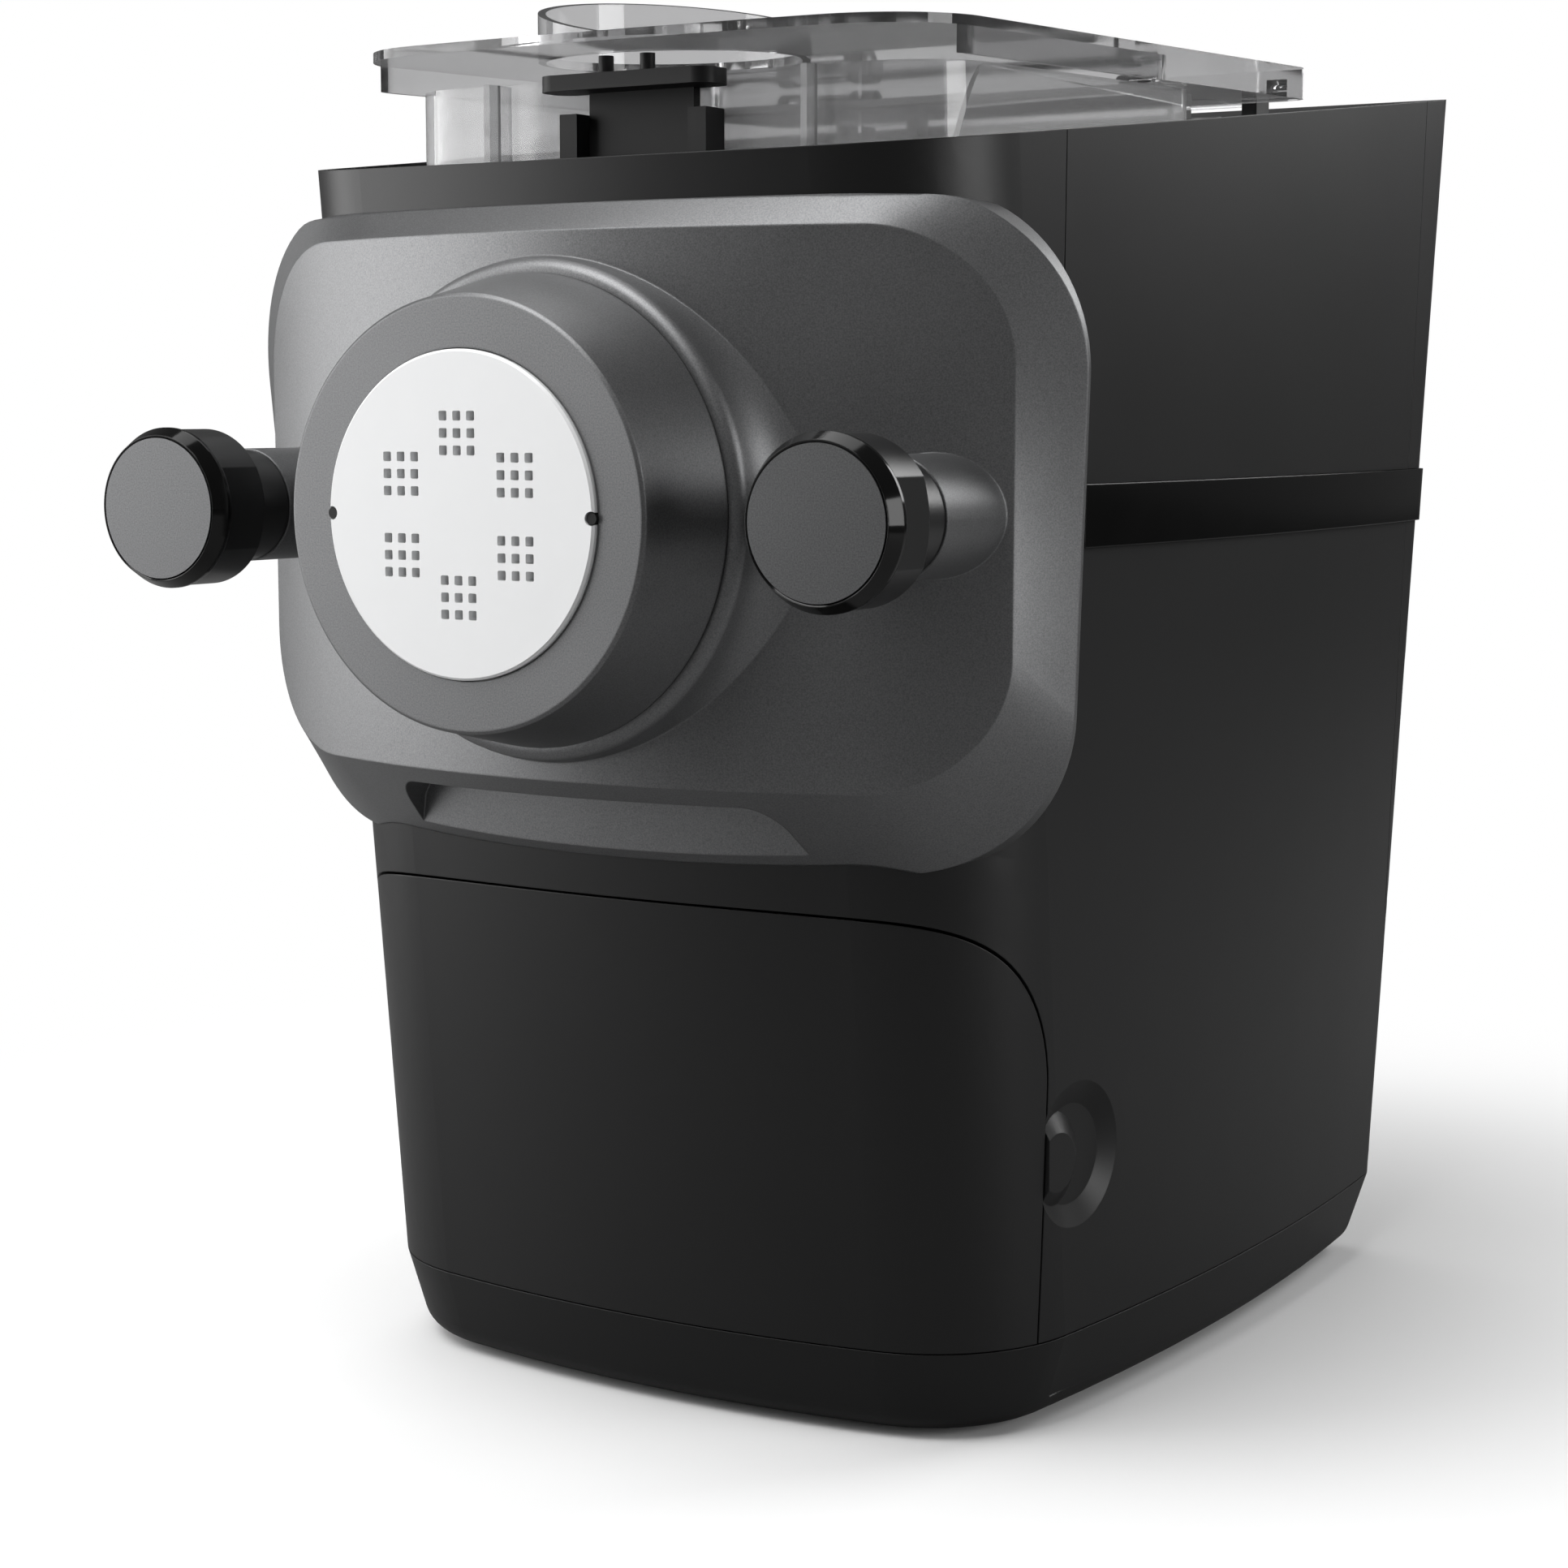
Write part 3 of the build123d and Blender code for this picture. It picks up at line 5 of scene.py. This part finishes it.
import bmesh
import bpy
from bpy.props import FloatProperty, FloatVectorProperty, PointerProperty
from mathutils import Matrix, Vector


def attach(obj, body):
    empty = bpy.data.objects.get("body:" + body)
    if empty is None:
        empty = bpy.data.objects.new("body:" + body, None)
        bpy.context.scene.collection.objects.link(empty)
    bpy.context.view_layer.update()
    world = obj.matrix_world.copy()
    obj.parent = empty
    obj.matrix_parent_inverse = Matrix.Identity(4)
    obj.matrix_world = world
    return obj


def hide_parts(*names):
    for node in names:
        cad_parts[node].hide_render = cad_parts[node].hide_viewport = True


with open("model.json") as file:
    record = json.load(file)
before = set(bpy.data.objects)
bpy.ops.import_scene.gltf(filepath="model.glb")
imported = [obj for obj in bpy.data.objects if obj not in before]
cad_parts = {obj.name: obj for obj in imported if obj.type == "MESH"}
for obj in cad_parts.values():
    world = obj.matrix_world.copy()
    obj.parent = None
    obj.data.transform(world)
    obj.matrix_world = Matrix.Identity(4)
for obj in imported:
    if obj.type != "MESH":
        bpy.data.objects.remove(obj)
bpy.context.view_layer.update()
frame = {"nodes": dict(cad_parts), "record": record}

bl_info = {
    "name": "Pasta Maker",
    "version": (1, 0, 0),
    "blender": (4, 5, 0),
    "location": "View3D > Sidebar > Pasta Maker",
    "description": "Finishes a countertop electric pasta maker and sets it on a pale studio floor",
    "category": "Object",
}


# ---- shader maths --------------------------------------------------------
class Mix:
    """One number or colour from a node socket; sums on it add Math nodes."""

    def __init__(self, shading, socket):
        self.shading = shading
        self.socket = socket

    def _math(self, operation, first, second):
        return self.shading.node("ShaderNodeMath", {"operation": operation},
                                 {0: first, 1: second})

    def __add__(self, other):
        return self._math("ADD", self, other)

    def __mul__(self, other):
        return self._math("MULTIPLY", self, other)

    __radd__ = __add__
    __rmul__ = __mul__


class Shading:
    """The node tree of a material or a world under construction."""

    def __init__(self, tree):
        self.tree = tree

    def node(self, kind, settings=None, inputs=None, output=0):
        """Adds a node: its settings first, then the values or links of its sockets."""
        made = self.tree.nodes.new(kind)
        for key, value in (settings or {}).items():
            setattr(made, key, value)
        for key, value in (inputs or {}).items():
            self.feed(made.inputs[key], value)
        return Mix(self, made.outputs[output])

    def feed(self, socket, value):
        """Links a socket to a Mix, or sets it to a plain value."""
        if isinstance(value, Mix):
            self.tree.links.new(value.socket, socket)
        else:
            socket.default_value = value

    def seen(self):
        """1 where the camera sees the surface, also through clear plastic."""
        direct = self.node("ShaderNodeLightPath", output="Is Camera Ray")
        through = self.node("ShaderNodeLightPath", output="Is Transmission Ray")
        return self.node("ShaderNodeMath", {"operation": "MAXIMUM"}, {0: direct, 1: through})


class Finish(Shading):
    """A material under construction."""

    def __init__(self, name):
        self.material = bpy.data.materials.new(name)
        self.material.use_nodes = True
        super().__init__(self.material.node_tree)
        self.shader = self.tree.nodes["Principled BSDF"]

    def set(self, **values):
        """Sets the shader's own sockets, with spaces written as underscores."""
        for key, value in values.items():
            self.feed(self.shader.inputs[key.replace("_", " ")], value)

    def place(self):
        """The object's own coordinates."""
        return self.node("ShaderNodeTexCoord", output="Object")

    def noise(self, scale, detail, rough=0.5):
        """Noise over the object's own coordinates, from 0 to 1."""
        return self.node("ShaderNodeTexNoise", {},
                         {"Vector": self.place(), "Scale": scale, "Detail": detail,
                          "Roughness": rough})

    def tint(self, factor, dark, light):
        """Colour between two colours."""
        return self.node("ShaderNodeMix", {"data_type": "RGBA"}, {0: factor, 6: dark, 7: light},
                         output=2)

    def bump(self, height, depth, strength, edge=0.0):
        """Normal from a height, with its depth and the rounding of edges in metres."""
        inputs = {"Height": height, "Distance": depth, "Strength": strength}
        if edge:
            inputs["Normal"] = self.node("ShaderNodeBevel", {"samples": 4}, {"Radius": edge})
        return self.node("ShaderNodeBump", {}, inputs)

    def cover_with(self, shader, share):
        """Lets another shader take over a share of the surface."""
        own = Mix(self, self.shader.outputs["BSDF"])
        both = self.node("ShaderNodeMixShader", {}, {0: share, 1: own, 2: shader})
        self.feed(self.tree.nodes["Material Output"].inputs["Surface"], both)


def shade(colour, share):
    """A colour made lighter or darker by a share, opaque."""
    return (*[min(1.0, part * share) for part in colour[:3]], 1.0)


# ---- sizes and colours that a user would change --------------------------
def colour_property(name, text, value):
    return FloatVectorProperty(name=name, description=text, subtype="COLOR", size=3,
                               min=0, max=1, default=value)


def power_property(name, text, value):
    return FloatProperty(name=name, description=text, default=value, min=0, unit="POWER")


class PastaColours(bpy.types.PropertyGroup):
    housing: colour_property("Housing", "Satin black of the body", (0.0045, 0.0045, 0.0047))
    panel: colour_property("Panel", "Dark metallic grey of the front panel", (0.115, 0.116, 0.118))
    gloss: colour_property("Gloss trim", "Polished black of the side bands", (0.003, 0.003, 0.003))
    knob: colour_property("Knob grip", "Satin black of the knobs", (0.006, 0.006, 0.0063))
    cap: colour_property("Knob cap", "Metallic grey of the knob faces", (0.07, 0.0705, 0.072))
    disc: colour_property("Disc", "White of the shaping disc", (0.86, 0.865, 0.87))
    smoke: colour_property("Lid", "Smoky tint of the lid", (0.5, 0.5, 0.505))
    clear: colour_property("Chamber", "Tint of the mixing chamber", (0.7, 0.7, 0.705))
    floor: colour_property("Floor", "Pale studio floor", (0.93, 0.93, 0.93))


class PastaStudio(bpy.types.PropertyGroup):
    left_power: power_property("Left light", "Power of the large soft light on the left", 27.0)
    right_power: power_property("Right light", "Power of the soft light on the right", 8.0)
    rear_power: power_property("Rear light", "Power of the soft light behind, on the right", 15.0)
    front_power: power_property("Front light", "Power of the soft light above the front", 27.0)
    top_power: power_property("Top light", "Power of the soft light above the rear", 6.0)
    ambient: FloatProperty(name="Ambient", description="Light of the room on the object",
                           default=0.1, min=0)


# ---- materials -----------------------------------------------------------
def satin_plastic(name, colour, roughness, flake=0.0, metallic=0.0, sheen=0.3, edge=0.0):
    """Moulded plastic with a fine spark-eroded grain and a slight unevenness of sheen."""
    uneven = 0.06
    finish = Finish(name)
    grains = finish.noise(2600.0, 1.0)
    cloud = finish.noise(22.0, 3.0)
    tone = grains * (0.5 + flake) + cloud * 0.25
    finish.set(Base_Color=finish.tint(tone, shade(colour, 0.72), shade(colour, 1.4 + flake)),
               Roughness=cloud * uneven + grains * uneven + (roughness - uneven),
               Normal=finish.bump(grains, 0.00003, 0.35, edge))
    finish.set(Metallic=metallic, Specular_IOR_Level=sheen)
    return finish.material


def gloss_plastic(name, colour, roughness=0.07, sheen=0.3):
    """Polished plastic with faint wipe marks."""
    finish = Finish(name)
    cloud = finish.noise(60.0, 4.0)
    finish.set(Base_Color=finish.tint(cloud, shade(colour, 0.85), shade(colour, 1.25)),
               Roughness=cloud * 0.05 + roughness,
               Normal=finish.bump(cloud, 0.00002, 0.1, edge=0.0005))
    finish.set(Specular_IOR_Level=sheen)
    return finish.material


def clear_plastic(name, colour, clarity, roughness=0.03):
    """Moulded see-through plastic, tinted in its thickness, with a slight haze."""
    finish = Finish(name)
    cloud = finish.noise(45.0, 2.0)
    finish.set(Base_Color=finish.tint(cloud, shade(colour, 0.96), shade(colour, 1.0)),
               Roughness=cloud * 0.02 + roughness)
    finish.set(Transmission_Weight=clarity, IOR=1.49)
    return finish.material


def white_plastic(name, colour, roughness=0.3):
    """Pale food-grade plastic with a soft sheen."""
    finish = Finish(name)
    cloud = finish.noise(90.0, 3.0)
    finish.set(Base_Color=finish.tint(cloud, shade(colour, 0.97), shade(colour, 1.0)),
               Roughness=cloud * 0.06 + roughness, Normal=finish.bump(cloud, 0.00003, 0.15))
    return finish.material


def metal(name, colour, roughness, grain=900.0):
    """Turned or cast metal with fine marks."""
    finish = Finish(name)
    marks = finish.noise(grain, 3.0)
    finish.set(Base_Color=finish.tint(marks, shade(colour, 0.85), shade(colour, 1.05)),
               Roughness=marks * 0.12 + roughness, Normal=finish.bump(marks, 0.00004, 0.2))
    finish.set(Metallic=1.0)
    return finish.material


def circuit_board(name):
    """Green laminate with uneven tracks."""
    finish = Finish(name)
    tracks = finish.noise(260.0, 5.0, 0.7)
    finish.set(Base_Color=finish.tint(tracks, (0.01, 0.09, 0.035, 1), (0.04, 0.22, 0.09, 1)),
               Roughness=tracks * 0.15 + 0.35, Normal=finish.bump(tracks, 0.0001, 0.3))
    return finish.material


def rubber(name):
    """Matte rubber."""
    finish = Finish(name)
    grains = finish.noise(1500.0, 2.0)
    finish.set(Base_Color=finish.tint(grains, (0.012, 0.012, 0.012, 1), (0.03, 0.03, 0.03, 1)),
               Roughness=grains * 0.1 + 0.75, Normal=finish.bump(grains, 0.00008, 0.4))
    return finish.material


def make_materials(colours):
    """Every material of the object, by the record's slot name."""
    return {
        "housing_black": satin_plastic("housing_satin", colours.housing, 0.4, sheen=0.4,
                                       edge=0.0004),
        "panel_grey": satin_plastic("panel_metallic", colours.panel, 0.43, flake=0.5,
                                    metallic=0.8, edge=0.0007),
        "gloss_black": gloss_plastic("trim_gloss", colours.gloss),
        "knob_black": satin_plastic("knob_satin", colours.knob, 0.33, sheen=0.6, edge=0.0006),
        "knob_face": satin_plastic("cap_metallic", colours.cap, 0.38, flake=0.6, metallic=0.8),
        "inner_black": satin_plastic("inner_moulded", colours.housing, 0.5),
        "disc_white": white_plastic("disc_plastic", colours.disc),
        "white_plastic": white_plastic("screw_plastic", (0.78, 0.78, 0.77)),
        "gear_white": white_plastic("gear_plastic", (0.7, 0.69, 0.64), 0.42),
        "clear": clear_plastic("chamber_clear", colours.clear, 0.8),
        "smoky": clear_plastic("lid_smoky", colours.smoke, 0.94),
        "steel": metal("steel_turned", (0.6, 0.6, 0.61), 0.22),
        "alloy": metal("alloy_cast", (0.55, 0.55, 0.56), 0.42, 500.0),
        "board": circuit_board("circuit_board"),
        "rubber": rubber("foot_rubber"),
    }


# ---- operators -----------------------------------------------------------
class PASTA_OT_finish_nodes(bpy.types.Operator):
    """Give every node of the frame its material"""
    bl_idname = "pasta.finish_nodes"
    bl_label = "Finish the frame"

    def execute(self, context):
        materials = make_materials(context.scene.pasta_colours)
        slots = {row["node"]: row["material_slot"] for row in frame["record"]["subparts"]}
        for name, node in frame["nodes"].items():
            node.data.materials.clear()
            node.data.materials.append(materials[slots[name]])
        return {"FINISHED"}


class PASTA_OT_front_panel(bpy.types.Operator):
    """Give the front panel a straight upper edge where it lies on the shell"""
    bl_idname = "pasta.front_panel"
    bl_label = "Front panel"

    face_top = 0.3172        # upper edge of the flat face, where the bevel starts
    edge_top = 0.3245        # upper edge of the bevel on the shell
    corner_start = 0.090     # half width of the straight stretch
    corner_end = 0.1073      # where the rounded corner is left as it is
    corner_drop = 0.0031     # how far the corner falls between the two
    corner_power = 3.3
    forward = 0.13           # the shell leans forward as it rises
    weld = 0.000001          # distance at which the node's split corners are joined

    def execute(self, context):
        node = frame["nodes"]["front_panel"]
        shape = bmesh.new()
        shape.from_mesh(node.data)
        shading = shape.loops.layers.float_vector.new("shading")
        for face in shape.faces:
            for loop in face.loops:
                loop[shading] = node.data.corner_normals[loop.index].vector
        bmesh.ops.remove_doubles(shape, verts=shape.verts, dist=self.weld)
        self.straighten(shape)
        mesh = bpy.data.meshes.new("panel_moulding")
        shape.to_mesh(mesh)
        shape.free()
        mesh.shade_smooth()
        kept = mesh.attributes["shading"]
        mesh.normals_split_custom_set([corner.vector for corner in kept.data])
        mesh.attributes.remove(mesh.attributes["shading"])
        mesh.materials.append(node.data.materials[0])
        panel = bpy.data.objects.new("panel_moulding", mesh)
        context.scene.collection.objects.link(panel)
        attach(panel, "panel")
        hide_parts("front_panel")
        return {"FINISHED"}

    def straighten(self, shape):
        """Stretches the bevel above the flat face up or down to the straight edge."""
        outline = self.upper_edge(shape)
        for vertex in shape.verts:
            across = abs(vertex.co.x)
            if vertex.co.z > self.face_top and across < self.corner_end:
                old = self.height_at(outline, across) - self.face_top
                new = self.wanted(across) - self.face_top
                moved = self.face_top + (vertex.co.z - self.face_top) * new / old - vertex.co.z
                vertex.co.z += moved
                vertex.co.y -= self.forward * max(0.0, moved)

    def upper_edge(self, shape):
        """Half widths and heights along the panel's upper edge, from the middle outwards."""
        lowest = self.face_top - self.corner_drop
        points = []
        for edge in shape.edges:
            normals = [face.normal for face in edge.link_faces]
            rear = any(normal.y > 0.5 for normal in normals)
            outer = any(normal.z > 0.2 and normal.y < 0.3 for normal in normals)
            if rear and outer and min(vertex.co.z for vertex in edge.verts) > lowest:
                points += [(abs(vertex.co.x), vertex.co.z) for vertex in edge.verts]
        return sorted(set(points))

    def height_at(self, outline, across):
        """Height of the upper edge at a half width."""
        for (low, start), (high, end) in zip(outline, outline[1:]):
            if low <= across <= high and high > low:
                return start + (end - start) * (across - low) / (high - low)
        return outline[0][1] if across < outline[0][0] else outline[-1][1]

    def wanted(self, across):
        """Height of the straight edge and its rounded corner at a half width."""
        share = max(0.0, across - self.corner_start) / (self.corner_end - self.corner_start)
        return self.edge_top - self.corner_drop * share ** self.corner_power


class PASTA_OT_stage(bpy.types.Operator):
    """Set the floor, the lamps and the camera"""
    bl_idname = "pasta.stage"
    bl_label = "Stage"

    camera_place = (0.4495, -0.7783, 0.2733)
    camera_yaw = radians(31.36)
    camera_pitch = radians(7.158)
    camera_lens = 68.94
    camera_sensor = 36.0
    floor_reach = 6.0
    floor_bounce = 0.28              # share of the floor's colour that lights the object
    footprint = (0.11, 0.15, 0.0)    # half of the floor that the object covers
    fade_start = 0.04                # from the footprint outwards
    fade_end = 0.38
    lamp_aim = (0, 0, 0.2)
    lamps = (
        # name, power property, place, size
        ("left_lamp", "left_power", (-1.35, -0.75, 0.38), 1.5),
        ("right_lamp", "right_power", (1.5, 0.05, 0.5), 0.7),
        ("rear_lamp", "rear_power", (0.85, 1.6, 1.15), 1.0),
        ("front_lamp", "front_power", (-0.3, -0.8, 1.6), 1.2),
        ("top_lamp", "top_power", (-0.3, 0.45, 1.6), 1.0),
    )

    def execute(self, context):
        studio = context.scene.pasta_studio
        self.floor(context)
        for name, power, place, size in self.lamps:
            self.lamp(context, name, getattr(studio, power), Vector(place), size)
        self.room(context, studio.ambient)
        self.camera(context)
        context.scene.view_settings.view_transform = "Standard"
        return {"FINISHED"}

    def floor(self, context):
        sheet = bmesh.new()
        bmesh.ops.create_grid(sheet, x_segments=1, y_segments=1, size=self.floor_reach)
        mesh = bpy.data.meshes.new("studio_floor")
        sheet.to_mesh(mesh)
        sheet.free()
        floor = bpy.data.objects.new("studio_floor", mesh)
        context.scene.collection.objects.link(floor)
        mesh.materials.append(self.floor_paint(context.scene.pasta_colours.floor))

    def floor_paint(self, colour):
        """Pale paint that fades to the white of the room away from the object."""
        finish = Finish("floor_paint")
        seen = finish.seen()
        finish.set(Base_Color=finish.tint(seen, shade(colour, self.floor_bounce),
                                          shade(colour, 1.0)))
        finish.set(Roughness=0.6, Specular_IOR_Level=0.1)
        away = finish.place()
        for operation, inputs in (("ABSOLUTE", {}), ("SUBTRACT", {1: self.footprint}),
                                  ("MAXIMUM", {1: (0, 0, 0)})):
            away = finish.node("ShaderNodeVectorMath", {"operation": operation},
                               {0: away, **inputs})
        distance = finish.node("ShaderNodeVectorMath", {"operation": "LENGTH"}, {0: away},
                               output="Value")
        fade = finish.node("ShaderNodeMapRange", {"interpolation_type": "SMOOTHSTEP"},
                           {"Value": distance, "From Min": self.fade_start,
                            "From Max": self.fade_end})
        white = finish.node("ShaderNodeEmission", {}, {"Color": (1, 1, 1, 1), "Strength": 1.0})
        finish.cover_with(white, fade * seen)
        return finish.material

    def lamp(self, context, name, power, place, size):
        light = bpy.data.lights.new(name, "AREA")
        light.energy = power
        light.size = size
        lamp = bpy.data.objects.new(name, light)
        lamp.location = place
        lamp.rotation_euler = (Vector(self.lamp_aim) - place).to_track_quat("-Z", "Y").to_euler()
        context.scene.collection.objects.link(lamp)

    def room(self, context, ambient):
        """White room to look at, with a dimmer light of its own on the object."""
        world = bpy.data.worlds.new("studio_room")
        world.use_nodes = True
        context.scene.world = world
        shading = Shading(world.node_tree)
        strength = shading.node("ShaderNodeMapRange", {},
                                {"Value": shading.seen(), "To Min": ambient, "To Max": 1.0})
        background = world.node_tree.nodes["Background"]
        shading.feed(background.inputs["Strength"], strength)
        shading.feed(background.inputs["Color"], (1, 1, 1, 1))

    def camera(self, context):
        data = bpy.data.cameras.new("camera")
        data.sensor_width = self.camera_sensor
        data.lens = self.camera_lens
        camera = bpy.data.objects.new("camera", data)
        look = Vector((-sin(self.camera_yaw) * cos(self.camera_pitch),
                       cos(self.camera_yaw) * cos(self.camera_pitch), -sin(self.camera_pitch)))
        camera.location = self.camera_place
        camera.rotation_euler = look.to_track_quat("-Z", "Y").to_euler()
        context.scene.collection.objects.link(camera)
        context.scene.camera = camera


class PASTA_PT_panel(bpy.types.Panel):
    """Colours, lamps and steps of the pasta maker"""
    bl_idname = "PASTA_PT_panel"
    bl_label = "Pasta Maker"
    bl_space_type = "VIEW_3D"
    bl_region_type = "UI"
    bl_category = "Pasta Maker"

    def draw(self, context):
        for group in (context.scene.pasta_colours, context.scene.pasta_studio):
            box = self.layout.box()
            for key in group.__annotations__:
                box.prop(group, key)
        for step in steps:
            self.layout.operator(step.bl_idname)


steps = (PASTA_OT_finish_nodes, PASTA_OT_front_panel, PASTA_OT_stage)
classes = (PastaColours, PastaStudio) + steps + (PASTA_PT_panel,)


def register():
    for kind in classes:
        bpy.utils.register_class(kind)
    bpy.types.Scene.pasta_colours = PointerProperty(type=PastaColours)
    bpy.types.Scene.pasta_studio = PointerProperty(type=PastaStudio)


def unregister():
    del bpy.types.Scene.pasta_studio
    del bpy.types.Scene.pasta_colours
    for kind in reversed(classes):
        bpy.utils.unregister_class(kind)


def main():
    register()
    for step in steps:
        group, name = step.bl_idname.split(".")
        getattr(getattr(bpy.ops, group), name)()


if __name__ == "__main__":
    main()
